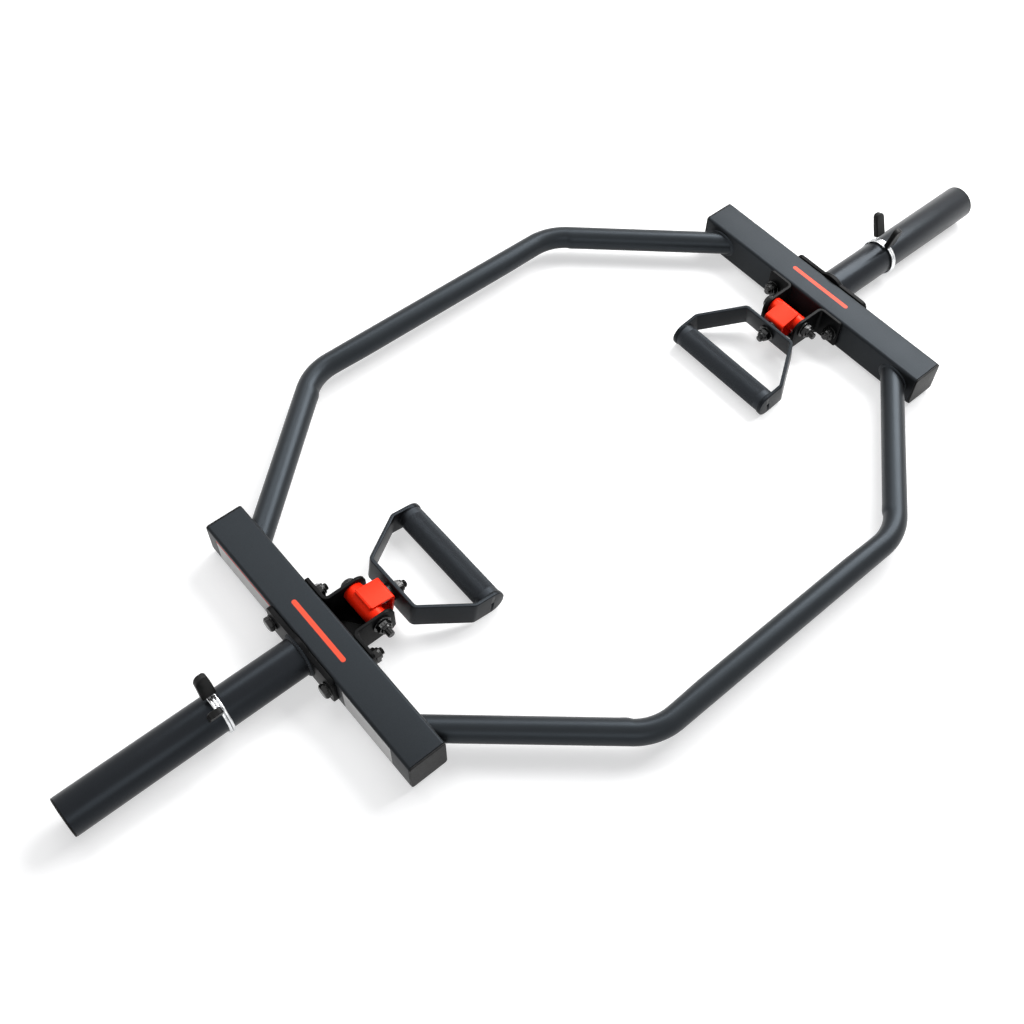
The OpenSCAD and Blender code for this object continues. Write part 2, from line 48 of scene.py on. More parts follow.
def ringShell(rows, loop=False):
    # Rings of points, one row each, with quads between neighbouring rows. A loop joins the
    # last row to the first; otherwise a flat face closes each end.
    count, columns = rows.shape[:2]
    i = np.arange(count if loop else count - 1)[:, None]
    j = np.arange(columns)[None, :]
    below, above, beside = i * columns, (i + 1) % count * columns, (j + 1) % columns
    faces = np.stack([below + j, below + beside, above + beside, above + j], -1).reshape(-1, 4).tolist()
    if not loop:
        faces += [list(range(columns))[::-1], list(range((count - 1) * columns, count * columns))]
    return rows.reshape(-1, 3), faces


def roundAngles(count):
    # Even angles round a full turn: 2 pi i / count
    return np.linspace(0, turnOnce, count, endpoint=False)


def ringsAboutX(along, r, angle):
    # Circles about X: y = radius cos(angle), z = radius sin(angle)
    return np.stack([along + 0 * r, r * np.cos(angle), r * np.sin(angle)], -1)


def revolve(profile, around, loop=False):
    # A line of (along, radius) turned round X
    along, radius = np.asarray(profile, float).T[:, :, None]
    angle = roundAngles(around)
    return ringShell(ringsAboutX(along, radius + 0 * angle, angle), loop)


def rounded(corners, radii, steps, closed=True):
    # Each corner of a line gives way to an arc: it leaves the line r tan(turn / 2) before the
    # corner and turns about its centre by the corner's turn. Returns the points and headings.
    p = np.asarray(corners, float)
    r = np.broadcast_to(np.asarray(radii, float), len(p))[:, None]
    ahead = np.roll(p, -1, 0) - p
    ahead /= np.linalg.norm(ahead, axis=1)[:, None]
    back = np.roll(ahead, 1, 0)
    turn = np.arctan2(back[:, 0] * ahead[:, 1] - back[:, 1] * ahead[:, 0], (back * ahead).sum(1))[:, None]
    arm = np.stack([back[:, 1], -back[:, 0]], -1) * np.sign(turn) * r
    centre = p - back * r * np.tan(abs(turn) / 2) - arm
    share = np.linspace(0, 1, steps)
    a = turn * share
    x = centre[:, :1] + arm[:, :1] * np.cos(a) - arm[:, 1:] * np.sin(a)
    y = centre[:, 1:] + arm[:, :1] * np.sin(a) + arm[:, 1:] * np.cos(a)
    heading = np.arctan2(back[:, 1:], back[:, :1]) + a
    line = np.stack([x, y, heading], -1)
    if closed:
        return line.reshape(-1, 3)
    ends = [[*p[0], math.atan2(ahead[0, 1], ahead[0, 0])], [*p[-1], math.atan2(back[-1, 1], back[-1, 0])]]
    line = np.concatenate([ends[:1], line[1:-1].reshape(-1, 3), ends[1:]])
    line[:, 2] = np.unwrap(line[:, 2])
    return line


def rectangle(low, high, half, corner, steps):
    # Outline from low to high in X and -half to half in Y with round corners, anticlockwise
    return rounded([(low, -half), (high, -half), (high, half), (low, half)], corner, steps)


def walk(line, spacing, edge=0.0):
    # Points at even distances along a line, and closer ones within edge of its ends, with
    # the heading at each. Returns (distance, total length, x, y, heading).
    step = np.hypot(*np.diff(line[:, :2], axis=0).T)
    at = np.concatenate([[0], np.cumsum(step)])
    total = at[-1]
    close = edge * (1 - np.cos(np.linspace(0, math.pi / 2, 5)))
    s = np.linspace(edge, total - edge, max(2, int(total / spacing)))
    s = np.unique(np.round(np.concatenate([close, s, total - close]), 6))
    return s, total, *(np.interp(s, at, line[:, k]) for k in range(3))


def leftOf(x, y, heading, u):
    # Points a distance u to the left of a line's points
    return x[:, None] - u * np.sin(heading)[:, None], y[:, None] + u * np.cos(heading)[:, None]


def roundOff(s, radius):
    # How far a round corner lies inside the sharp one at a distance s along its edge:
    # radius - sqrt(radius^2 - (radius - s)^2), and 0 beyond the radius
    short = np.clip(radius - s, 0, radius)
    return radius - np.sqrt(radius**2 - short**2)


def smooth(t):
    # 0 up to 0, 1 from 1 on, and t^2 (3 - 2 t) between them
    t = np.clip(t, 0, 1)
    return t**2 * (3 - 2 * t)


def flatBar(line, thick, low, high, edge, spacing):
    # A rounded rectangle carried along a bent line in XY: its thickness lies across the line
    # and its width runs from low(s) to high(s) in Z. At both ends it draws in by a quarter round.
    s, total, x, y, heading = walk(line, spacing, edge)
    inset = roundOff(np.minimum(s, total - s), edge)
    bottom, top = low(s, total) + inset, high(s, total) - inset
    middle, half = (bottom + top) / 2, np.maximum((top - bottom) / 2, 0.01)
    width = thick / 2 - inset
    r = np.minimum(np.maximum(edge - inset, 0.02), half)
    a = np.linspace(0, math.pi / 2, 5)
    quarter = np.concatenate([a, a + math.pi / 2, a + math.pi, a + 3 * math.pi / 2])
    signU, signV = np.repeat([1, -1, -1, 1], 5), np.repeat([1, 1, -1, -1], 5)
    u = signU * (width - r)[:, None] + r[:, None] * np.cos(quarter)
    v = middle[:, None] + signV * (half - r)[:, None] + r[:, None] * np.sin(quarter)
    return ringShell(np.stack([*leftOf(x, y, heading, u), v], -1))


def inwardOf(outline):
    # Unit normals to the left of an outline, which runs anticlockwise
    return np.stack([-np.sin(outline[:, 2]), np.cos(outline[:, 2])], -1)


def slab(outline, low, high, edge, dome=0.0):
    # A closed outline in XY raised from low to high, its two rims rounded by a quarter circle:
    # each ring is the outline moved in along its normals. The top may swell by a dome, whose
    # rings are the top ring drawn towards its middle.
    inward = inwardOf(outline)
    a = np.linspace(0, math.pi / 2, 5)
    move = edge * (1 - np.sin(a))
    rise = edge * (1 - np.cos(a))
    inset = np.concatenate([move, move[::-1]])
    z = np.concatenate([low + rise, high - rise[::-1]])
    xy = outline[None, :, :2] + inset[:, None, None] * inward
    if dome:
        middle, drawn, lifted = xy[-1].mean(0), np.array([0.92, 0.7, 0.35]), np.array([0.3, 0.8, 1.0])
        xy = np.concatenate([xy, middle + (xy[-1] - middle) * drawn[:, None, None]])
        z = np.concatenate([z, high + dome * lifted])
    return ringShell(np.concatenate([xy, np.broadcast_to(z[:, None, None], (*xy.shape[:2], 1))], -1))


def rod(points, radius, around=24):
    # A circle of radius(i) carried along a line in space, none of which leads along X: the
    # circle's plane holds side = direction x X and up = direction x side.
    along = np.gradient(points, axis=0)
    along /= np.linalg.norm(along, axis=1)[:, None]
    side = np.cross(along, [1.0, 0, 0])
    side /= np.linalg.norm(side, axis=1)[:, None]
    up = np.cross(along, side)
    a = roundAngles(around)[None, :, None]
    r = np.broadcast_to(radius, len(points))[:, None, None]
    return ringShell(points[:, None] + r * (np.cos(a) * side[:, None] + np.sin(a) * up[:, None]))


def bead(corner, wayA, wayB, size, pitch=2.2, depth=0.16, lag=0.35, root=0.3):
    # A weld bead along a closed line: from each point a quarter round bulges between two
    # directions, and its size swells and falls once every pitch, so that it looks laid in
    # ripples. The ripples lag behind at the bead's two sides, and its root lies in the metal.
    step = np.linalg.norm(corner - np.roll(corner, 1, 0), axis=1)
    s = np.cumsum(step)
    turns = np.round(s[-1] / pitch)
    b = np.linspace(0, math.pi / 2, 9)
    phase = s[:, None] / s[-1] * turns + lag * np.sin(2 * b)
    ripple = 1 - depth * abs(2 * (phase % 1) - 1) ** 1.5
    reach = np.broadcast_to(np.asarray(size, float), 2)
    bulge = reach[0] * np.cos(b)[:, None] * wayA[:, None] + reach[1] * np.sin(b)[:, None] * wayB[:, None]
    arc = corner[:, None] + ripple[..., None] * bulge
    return ringShell(np.concatenate([(corner - root * (wayA + wayB))[:, None], arc], 1), loop=True)


def ringBead(radius, size, pitch, count):
    # A bead in the corner between a face at X = 0 and a rod about X, on radius (cos a, sin a)
    a = roundAngles(count)[:, None]
    radial = np.concatenate([0 * a, np.cos(a), np.sin(a)], 1)
    return bead(radius * radial, np.broadcast_to([1.0, 0, 0], radial.shape), radial, size, pitch)


def placed(shell, origin, alongX, alongY):
    # A shell's own X and Y turned to two directions of the bar, with its origin at a point
    alongX, alongY = np.asarray(alongX, float), np.asarray(alongY, float)
    turn = np.stack([alongX, alongY, np.cross(alongX, alongY)])
    return shell[0] @ turn + origin, shell[1]


def mirrored(shell):
    # The same shell on the other side of the sleeves' axis, front to rear
    return shell[0] * (1, -1, 1), shell[1]


def addObject(name, data):
    # An object of the scene that carries a mesh, a light or a camera
    new = bpy.data.objects.new(name, data)
    bpy.context.scene.collection.objects.link(new)
    return new


def addPiece(name, body, material, shells, flip=(1, 1), stands=(), sharp=32):
    # Shells become one object on a body, in a slot, in place of the CAD nodes it stands for
    points = np.concatenate([s[0] for s in shells]) * mm * (*flip, 1)
    starts = np.cumsum([0] + [len(s[0]) for s in shells])
    faces = [[k + int(start) for k in face] for start, s in zip(starts, shells) for face in s[1]]
    mesh = bpy.data.meshes.new(name)
    mesh.from_pydata(points.tolist(), [], faces)
    work = bmesh.new()
    work.from_mesh(mesh)
    bmesh.ops.remove_doubles(work, verts=work.verts, dist=2e-6)
    bmesh.ops.recalc_face_normals(work, faces=work.faces)
    work.to_mesh(mesh)
    work.free()
    mesh.polygons.foreach_set("use_smooth", np.ones(len(mesh.polygons), bool))
    mesh.set_sharp_from_angle(angle=math.radians(sharp))
    mesh.materials.append(material)
    piece = addObject(name, mesh)
    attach(piece, body)
    if stands:
        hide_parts(*stands)
    return piece


def addSided(side, name, body, material, shells, stands, flip=None, sharp=32):
    # A piece of one side: it is drawn on the right-hand side and flipped over for the left one
    return addPiece(f"{side}_{name}", body, material, shells, flip or (sides[side], 1),
                    [f"{side}_{stands}"], sharp)


def feed(tree, node, inputs):
    # Each input of a node takes a socket to be linked to or a plain value
    for key, value in inputs.items():
        if isinstance(value, bpy.types.NodeSocket):
            tree.links.new(value, node.inputs[key])
        else:
            node.inputs[key].default_value = value


def addNode(tree, kind, inputs=None, **settings):
    # A node with its settings and its inputs
    node = tree.nodes.new(kind)
    for key, value in settings.items():
        setattr(node, key, value)
    feed(tree, node, inputs or {})
    return node


def mathNode(tree, operation, *values, clamp=False):
    # The result of a math node on sockets or plain numbers
    return addNode(tree, "ShaderNodeMath", dict(enumerate(values)), operation=operation, use_clamp=clamp).outputs[0]


def remap(tree, value, fromLow, fromHigh, toLow, toHigh, kind="LINEAR"):
    # A value carried from one range to another, and held within the second
    ends = {"From Min": fromLow, "From Max": fromHigh, "To Min": toLow, "To Max": toHigh}
    return addNode(tree, "ShaderNodeMapRange", {"Value": value, **ends}, interpolation_type=kind).outputs[0]


def newMaterial(name):
    # A material with nodes: returns it, its node tree and its main shader
    material = bpy.data.materials.new(name)
    material.use_nodes = True
    return material, material.node_tree, material.node_tree.nodes["Principled BSDF"]


skinSockets = {
    "INPUT": {"Color": "Color", "Cloud": "Float", "Roughness": "Float", "Rough Change": "Float",
              "Peel Scale": "Float", "Peel Depth": "Float"},
    "OUTPUT": {"Color": "Color", "Roughness": "Float", "Normal": "Vector"}}


def coatGroup():
    # Powder coat and other fine skins: slow cloudy changes of colour and roughness, and the
    # fine peel of the surface as a bump
    group = bpy.data.node_groups.new("fineSkin", "ShaderNodeTree")
    for way, kinds in skinSockets.items():
        for label, kind in kinds.items():
            group.interface.new_socket(label, in_out=way, socket_type=f"NodeSocket{kind}")
    given, out = group.nodes.new("NodeGroupInput"), group.nodes.new("NodeGroupOutput")
    place = group.nodes.new("ShaderNodeTexCoord").outputs["Object"]
    cloud = addNode(group, "ShaderNodeTexNoise", {"Vector": place, "Scale": 38.0, "Detail": 3.0})
    peel = addNode(group, "ShaderNodeTexNoise",
                   {"Vector": place, "Scale": given.outputs["Peel Scale"], "Detail": 2.0})
    centred = mathNode(group, "SUBTRACT", cloud.outputs["Fac"], 0.5)
    byCloud = mathNode(group, "MULTIPLY_ADD", centred, given.outputs["Cloud"], 1.0)
    bySpeck = remap(group, peel.outputs["Fac"], 0.3, 0.7, 0.9, 1.1)
    shade = mathNode(group, "MULTIPLY", byCloud, bySpeck)
    tinted = addNode(group, "ShaderNodeVectorMath", {0: given.outputs["Color"], "Scale": shade}, operation="SCALE")
    rough = mathNode(group, "MULTIPLY_ADD", centred, given.outputs["Rough Change"], given.outputs["Roughness"])
    bump = addNode(group, "ShaderNodeBump", {"Height": peel.outputs["Fac"], "Distance": 0.0004,
                                             "Strength": given.outputs["Peel Depth"]})
    feed(group, out, {"Color": tinted.outputs[0], "Roughness": rough, "Normal": bump.outputs[0]})
    return group


def skin(name, color, rough, shine=0.5, tint=(1, 1, 1, 1), metal=0.0, cloud=0.2, change=0.08, peelScale=900.0,
         peelDepth=0.12, mark=None):
    # A material of one finish; mark may paint over its colour
    material, tree, principled = newMaterial(name)
    skinOf = addNode(tree, "ShaderNodeGroup", {
        "Color": (*color, 1), "Cloud": cloud, "Roughness": rough, "Rough Change": change, "Peel Scale": peelScale,
        "Peel Depth": peelDepth}, node_tree=fineSkin).outputs
    base = mark(tree, skinOf["Color"]) if mark else skinOf["Color"]
    feed(tree, principled, {"Base Color": base, "Roughness": skinOf["Roughness"], "Normal": skinOf["Normal"],
                            "Specular IOR Level": shine, "Specular Tint": tint, "Metallic": metal})
    return material


fineSkin = coatGroup()

beam = {"inner": 404.0, "size": 50.0, "wall": 3.0, "corner": 4.0, "length": 402.0, "rim": 0.3, "rimLength": 0.4,
        "capThick": 3.0, "capEdge": 0.9, "capDome": 0.3, "seam": 0.25, "plugDepth": 14.0, "slack": 0.1}
band = {"length": 104.0, "width": 6.5, "centre": 431.0, "soft": 0.3, "color": (0.80, 0.085, 0.035, 1)}
labels = {"rear": (66.0, 182.0), "front": (78.0, 168.0), "height": 40.0, "color": (0.80, 0.79, 0.77, 1),
          "stripe": 5.0, "stripeColor": (0.70, 0.06, 0.03, 1)}


def between(tree, value, low, high):
    # 1 where a value lies between two bounds in millimetres, and 0 elsewhere
    above = mathNode(tree, "GREATER_THAN", value, low * mm)
    return mathNode(tree, "MULTIPLY", above, mathNode(tree, "LESS_THAN", value, high * mm))


def painted(tree, base, mask, color):
    # A colour laid over another where a mask is 1
    mix = addNode(tree, "ShaderNodeMix", {"Factor": mask, "A": base, "B": color}, data_type="RGBA")
    return mix.outputs["Result"]


def paintedMarks(tree, base):
    # A plain painted line on top of each beam: its mask is 1 where |y| and ||x| - centre| are
    # within half the band's length and width, with round ends. The left beam's outer face
    # carries two blank films, each a rectangle in (y, z), and the rear one a stripe.
    place = addNode(tree, "ShaderNodeTexCoord").outputs["Object"]
    x, y, z = addNode(tree, "ShaderNodeSeparateXYZ", {0: place}).outputs
    half, far = band["width"] / 2 * mm, 1000.0
    beyond = mathNode(tree, "SUBTRACT", mathNode(tree, "ABSOLUTE", y), band["length"] / 2 * mm - half, clamp=True)
    offset = mathNode(tree, "SUBTRACT", mathNode(tree, "ABSOLUTE", x), band["centre"] * mm)
    point = addNode(tree, "ShaderNodeCombineXYZ", {"X": offset, "Y": beyond})
    distance = addNode(tree, "ShaderNodeVectorMath", {0: point.outputs[0]}, operation="LENGTH")
    inside = remap(tree, distance.outputs["Value"], half, half - band["soft"] * mm, 0.0, 1.0)
    onTop = between(tree, z, axisHeight + beam["size"] / 2 - 0.5, far)
    color = painted(tree, base, mathNode(tree, "MULTIPLY", inside, onTop), band["color"])

    outerFace = between(tree, x, -far, 0.2 - beam["inner"] - beam["size"])
    bottom, top = axisHeight - labels["height"] / 2, axisHeight + labels["height"] / 2
    face = mathNode(tree, "MULTIPLY", outerFace, between(tree, z, bottom, top))
    for low, high in (labels["rear"], (-labels["front"][1], -labels["front"][0])):
        film = mathNode(tree, "MULTIPLY", face, between(tree, y, low, high))
        color = painted(tree, color, film, labels["color"])
    lined = mathNode(tree, "MULTIPLY", between(tree, z, top - labels["stripe"], top), outerFace)
    stripe = mathNode(tree, "MULTIPLY", lined, between(tree, y, *labels["rear"]))
    return painted(tree, color, stripe, labels["stripeColor"])


# Bluish specular tint on the black coats: a painted reflection colour that stands in for the bluish studio light
bluishLightTint = (0.72, 0.86, 1.0, 1)
beamCoat = skin("beamCoat", (0.012, 0.0130, 0.014), 0.42, 0.17, bluishLightTint, mark=paintedMarks)
tubeCoat = skin("tubeCoat", (0.012, 0.0130, 0.014), 0.38, 0.27, bluishLightTint)
sleeveCoat = skin("sleeveCoat", (0.011, 0.0115, 0.013), 0.32, 0.20, bluishLightTint)
# A darker, duller copy of the frame's black coat. On the end plates it is painted shade, standing in for the light
# their faces miss; the ears and their web are darkened by it too.
darkerFrameCoat = skin("darkerFrameCoat", (0.004, 0.0042, 0.0045), 0.36, 0.06)
strapCoat = skin("strapCoat", (0.005, 0.005, 0.0055), 0.36, 0.17, bluishLightTint)
gripCoat = skin("gripCoat", (0.010, 0.010, 0.011), 0.50, 0.32, bluishLightTint, peelDepth=0.02)
redCoat = skin("redCoat", (0.88, 0.016, 0.002), 0.36, 0.26, (1, 0.72, 0.42, 1), cloud=0.08)
blackOxide = skin("blackOxide", (0.005, 0.005, 0.005), 0.22, 0.45, cloud=0.5, change=0.1)
bushBronze = skin("bushBronze", (0.46, 0.32, 0.13), 0.38, metal=1.0, cloud=0.4)
springZinc = skin("springZinc", (0.72, 0.73, 0.74), 0.24, metal=1.0, cloud=0.1, peelDepth=0.02)
collarRubber = skin("collarRubber", (0.005, 0.005, 0.005), 0.42, 0.18, peelScale=2200.0, peelDepth=0.15)
capPlastic = skin("capPlastic", (0.012, 0.012, 0.012), 0.45, 0.14, peelScale=1800.0, peelDepth=0.3)
print("materials ready")


# The two bent tubes of the frame. The bending tool pinches them from dipStart before a leg's
# end over dipRise, which fades over dipFade along the run, and leaves a ridge before it.
tube = {"radius": 16.0, "wall": 2.5, "seat": (404.0, 167.0), "bend": (209.0, 338.0), "bendRadius": 75.0,
        "pinch": 1.3, "dipStart": 5.0, "dipRise": 7.0, "dipFade": 60.0, "ridge": 0.35, "ridgeAt": 9.0,
        "ridgeWidth": 5.0, "overrun": 24.0, "bead": 3.0}


def tubeShell():
    # A circle carried along leg, bend, run, bend and leg. On the inner side of each bend the
    # radius dips by pinch * max(0, cos)^2, sharply at the leg and slowly along the run. Past
    # the beam's face every point slides back along the leg, so the end is cut flush.
    seat, bend = np.array(tube["seat"]), np.array(tube["bend"])
    out = (seat - bend) / np.linalg.norm(seat - bend)
    far = seat + out * tube["overrun"]
    corners = np.array([far * (-1, 1), bend * (-1, 1), bend, far])
    line = rounded(corners, [0, tube["bendRadius"], tube["bendRadius"], 0], steps=40, closed=False)
    s, total, x, y, heading = walk(line, 2.0)
    lead = tube["bendRadius"] * abs(heading[0]) / 2
    legEnd = np.linalg.norm(far - bend) - tube["bendRadius"] * math.tan(abs(heading[0]) / 2)
    near = np.minimum(s, total - s) - legEnd  # distance past the leg's end, from either side
    dip = smooth((near + tube["dipStart"]) / tube["dipRise"]) * (1 - smooth((near - 2 * lead) / tube["dipFade"]))
    ridge = np.exp(-(((near + tube["ridgeAt"]) / tube["ridgeWidth"]) ** 2))
    a = roundAngles(48)
    inner = np.clip(-np.cos(a), 0, None) ** 2  # the bar's inside lies to the right of the line
    bow = (tube["ridge"] * ridge - tube["pinch"] * dip)[:, None] * inner

    def wallRows(radius):
        u, v = (radius + bow) * np.cos(a), (radius + bow) * np.sin(a)
        px, py = leftOf(x, y, heading, u)
        back = np.clip(abs(px) - seat[0], 0, None) / out[0]
        return np.stack([px - np.sign(px) * back * out[0], py - back * out[1], axisHeight + v + 0 * px], -1)

    bore = wallRows(tube["radius"] - tube["wall"])[::-1]
    return ringShell(np.concatenate([wallRows(tube["radius"]), bore]), loop=True)


for name, flipY in (("rear", 1), ("front", -1)):
    addPiece(f"{name}_bent_tube", "frame", tubeCoat, [tubeShell()], (1, flipY), [f"{name}_tube"])


def tubeBead():
    # Bead round the slanting end of a tube: the corner line is the tube's circle slid along
    # the leg onto the beam's face; the bead rises along the leg and outwards on the face
    seat = np.array([*tube["seat"], axisHeight])
    out = np.array([*(np.array(tube["seat"]) - tube["bend"]), 0.0])
    out /= np.linalg.norm(out)
    a = roundAngles(220)[:, None]
    radial = np.cos(a) * np.cross(out, [0, 0, 1.0]) + np.sin(a) * np.array([0, 0, 1.0])
    corner = seat + tube["radius"] * radial
    corner = corner - out * ((corner[:, :1] - seat[0]) / out[0])
    onFace = radial * (0, 1, 1)
    onFace /= np.linalg.norm(onFace, axis=1)[:, None]
    return bead(corner, np.broadcast_to(-out, corner.shape), onFace, tube["bead"])


for side in sides:
    beads = [tubeBead(), mirrored(tubeBead())]
    addSided(side, "tube_beads", "frame", tubeCoat, beads, "frame_welds")
print("frame tubes ready")


# The two square beams and their end caps
def squareOutline(size, corner):
    # Round square about the origin
    return rectangle(-size / 2, size / 2, size / 2, corner, 7)


def beamShell():
    # The round square carried along Y, with the same inside it as the bore; the four rims
    # draw in a little where the tube was sawn
    half, near = beam["length"] / 2, beam["length"] / 2 - beam["rimLength"]
    along = np.array([-half, -near, near, half])
    draw = np.array([beam["rim"], 0.0, 0.0, beam["rim"]])
    middle = beam["inner"] + beam["size"] / 2

    def rows(outline, draw):
        xz = outline[None, :, :2] + draw[:, None, None] * inwardOf(outline)
        y = np.broadcast_to(along[:, None], xz.shape[:2])
        return np.stack([middle + xz[..., 0], y, axisHeight + xz[..., 1]], -1)

    outer = rows(squareOutline(beam["size"], beam["corner"]), draw)
    inner = rows(squareOutline(beam["size"] - 2 * beam["wall"], beam["corner"] - beam["wall"]), -draw)
    return ringShell(np.concatenate([outer, inner[::-1]]), loop=True)


def beamCapShell():
    # Moulded cap on the end of the tube: a round square with a rounded rim and a slightly
    # swelled face, and the plug that it holds on by
    middle, dome = beam["inner"] + beam["size"] / 2, beam["capDome"]
    face = beam["capThick"] - dome - beam["slack"] / 2
    cap = slab(squareOutline(beam["size"] - beam["rim"], beam["corner"]), beam["seam"], face, beam["capEdge"], dome)
    plug = squareOutline(beam["size"] - 2 * beam["wall"] - beam["slack"], 1.0)
    core = slab(plug, -beam["plugDepth"], beam["seam"] + dome, dome)
    return [placed(s, (middle, beam["length"] / 2, axisHeight), (-1, 0, 0), (0, 0, 1)) for s in (cap, core)]


for side, k in sides.items():
    addSided(side, "square_tube", "frame", beamCoat, [beamShell()], "beam")
    for end, flipY in (("rear", 1), ("front", -1)):
        addSided(side, f"{end}_end_cap", "frame", capPlastic, beamCapShell(), f"{end}_cap",
                 (k, flipY))
print("beams ready")


# Plate sleeves, their caps and welds, and the plates that carry them. The cap's rim is drawn in
# points (along from the sleeve's end, in from the cap's radius).
sleeve = {"radius": 25.0, "wall": 3.0, "from": 460.0, "to": 757.0, "rim": 0.6, "around": 96, "capRadius": 24.8,
          "capRim": ((0.1, 3.4), (0.15, 0.4), (0.5, 0.0), (1.1, 0.0), (1.65, 0.3), (1.95, 1.0), (2.0, 2.0),
                     (1.9, 2.6), (1.5, 3.4)),
          "dish": (1.4, 10.0), "plug": (12.0, 3.4), "beadSize": 3.9, "beadPitch": 2.6}
plate = {"from": 454.0, "to": 460.0, "width": 132.0, "height": 50.0, "corner": 9.0, "lobe": 30.0, "edge": 0.7}


def onSleeve(profile, loop=False):
    # A line of (along, radius) turned round the sleeve's axis
    return placed(revolve(profile, sleeve["around"], loop), (0, 0, axisHeight), (1, 0, 0), (0, 1, 0))


def sleeveShell():
    # Tube wall as a closed line of (along, radius), its outer rim broken by a small round
    r, start, end, rim = sleeve["radius"], sleeve["from"], sleeve["to"], sleeve["rim"]
    inner = r - sleeve["wall"]
    return onSleeve([(start, inner), (start, r), (end - rim, r), (end - rim / 3, r - rim / 3), (end, r - rim),
                     (end, inner)], True)


def sleeveCapShell():
    # Moulded cap: a disc with a rounded rim and a shallow dish, and the plug behind it
    r, end, back = sleeve["capRadius"], sleeve["to"], sleeve["to"] - sleeve["plug"][0]
    plug, dish = r - sleeve["plug"][1], end + sleeve["dish"][0]
    rim = [(end + x, r - inward) for x, inward in sleeve["capRim"]]
    return onSleeve([(back, 0), (back, plug - 0.8), (back + 1, plug), *rim, (dish, sleeve["dish"][1]), (dish, 0)])


def sleeveBead():
    # The bead where the sleeve meets its plate
    ring = ringBead(sleeve["radius"], sleeve["beadSize"], sleeve["beadPitch"], 300)
    return placed(ring, (sleeve["from"], 0, axisHeight), (1, 0, 0), (0, 1, 0))


def plateOutline():
    # Round rectangle in (y, z) whose long edges swell to the lobe's circle about the sleeve
    h, w, lobe = plate["height"] / 2, plate["width"] / 2, plate["lobe"]
    reach = math.sqrt(lobe**2 - h**2)
    a0 = math.atan2(h, reach)
    arc = np.linspace(a0, math.pi - a0, 24)
    top = np.stack([lobe * np.cos(arc), lobe * np.sin(arc), arc + math.pi / 2], -1)
    corners = rectangle(-w, w, h, plate["corner"], 7).reshape(4, 7, 3)
    bottom = top + (0, 0, math.pi)
    bottom[:, :2] *= -1
    return np.concatenate([corners[0], bottom, corners[1], corners[2], top, corners[3]])


def plateShell():
    # The outline raised to the plate's thickness, its face stood across the sleeve's axis
    flat = slab(plateOutline(), 0.0, plate["to"] - plate["from"], plate["edge"])
    return placed(flat, (plate["from"], 0, axisHeight), (0, 1, 0), (0, 0, 1))


for side in sides:
    addSided(side, "sleeve_tube", "frame", sleeveCoat, [sleeveShell()], "sleeve")
    addSided(side, "sleeve_end_cap", "frame", capPlastic, [sleeveCapShell()], "sleeve_cap")
    addSided(side, "sleeve_bead", "frame", sleeveCoat, [sleeveBead()], "sleeve_weld")
    # The end plates take the darker copy of the frame's coat, as painted shade
    addSided(side, "end_plate", "frame", darkerFrameCoat, [plateShell()], "sleeve_plate")
print("sleeves ready")


# The pivot bracket: two ears of bent sheet, and the web between them, a dark sheet that partly stands in for the
# deep shade of the gap
ear = {"thick": 4.5, "innerY": 26.5, "tipX": 346.5, "bend": 4.0, "flangeEnd": 68.0, "above": 25.0, "below": 21.0,
       "tipRadius": 14.0, "chamfer": 5.0, "flangeCorner": 4.0, "edge": 0.7, "shadeWebReach": 44.0, "shadeWebLift": 1.0}


def earShell():
    # The sheet's middle line runs out along the beam's normal, turns a quarter and follows
    # the beam. Its top falls away round the tip's corner, and its bottom along a chamfer.
    midY, midX = ear["innerY"] + ear["thick"] / 2, beam["inner"] - ear["thick"] / 2
    line = rounded([(ear["tipX"], midY), (midX, midY), (midX, ear["flangeEnd"])],
                   [0, ear["bend"] + ear["thick"] / 2, 0], 12, closed=False)

    def top(s, total):
        rounds = roundOff(s, ear["tipRadius"]) + roundOff(total - s, ear["flangeCorner"])
        return axisHeight + ear["above"] - rounds

    def bottom(s, total):
        chamfer = np.clip(ear["chamfer"] - s, 0, None)
        return axisHeight - ear["below"] + chamfer + roundOff(total - s, ear["flangeCorner"])

    return flatBar(line, ear["thick"], bottom, top, ear["edge"], spacing=0.8)


def shadeWebShell():
    # Plate between the two ears, just above their lower edges and into their thickness. It is partly painted shade:
    # a dark sheet that keeps the gap between the ears black, as deep shade would.
    half = ear["innerY"] + ear["thick"] / 2
    outline = rectangle(beam["inner"] - ear["shadeWebReach"], beam["inner"], half, 0.1, 3)
    low = axisHeight - ear["below"] + ear["shadeWebLift"]
    return slab(outline, low, low + ear["thick"], ear["edge"])


for side in sides:
    # The dark web is partly painted shade: it keeps the gap between the ears black
    addSided(side, "ear_bracket", "frame", darkerFrameCoat,
             [earShell(), mirrored(earShell()), shadeWebShell()], "pivot_bracket")
print("brackets ready")


# Fasteners of one size. Lengths are shares of the bolt's diameter, the hexagon's radii shares
# of its width across flats, and the thread's depth a share of its pitch.
hexForm = {"d": 10.0, "flats": 17.0, "head": 0.63, "face": 0.475, "pitch": 1.5, "threadDepth": 0.549,
           "tip": 0.1, "nutBody": 0.6, "nutSlack": 0.03, "washerSlack": 0.4, "washerEdge": 0.3,
           "nutCollar": ((0.7, 0.44), (0.74, 0.43), (0.9, 0.43), (0.96, 0.415), (0.99, 0.39), (1.0, 0.36))}
plateBolt = {"proud": 4.0, "runOut": 2.0, "washer": 10.0, "washerThick": 2.0, "y": 56.0,
             "headX": 462.0, "nutX": 397.5}
pivotBolt = {"proud": 8.0, "runOut": 2.0, "washer": 12.0, "washerThick": 2.5, "x": 366.0, "rise": 9.0,
             "seatY": 33.5}


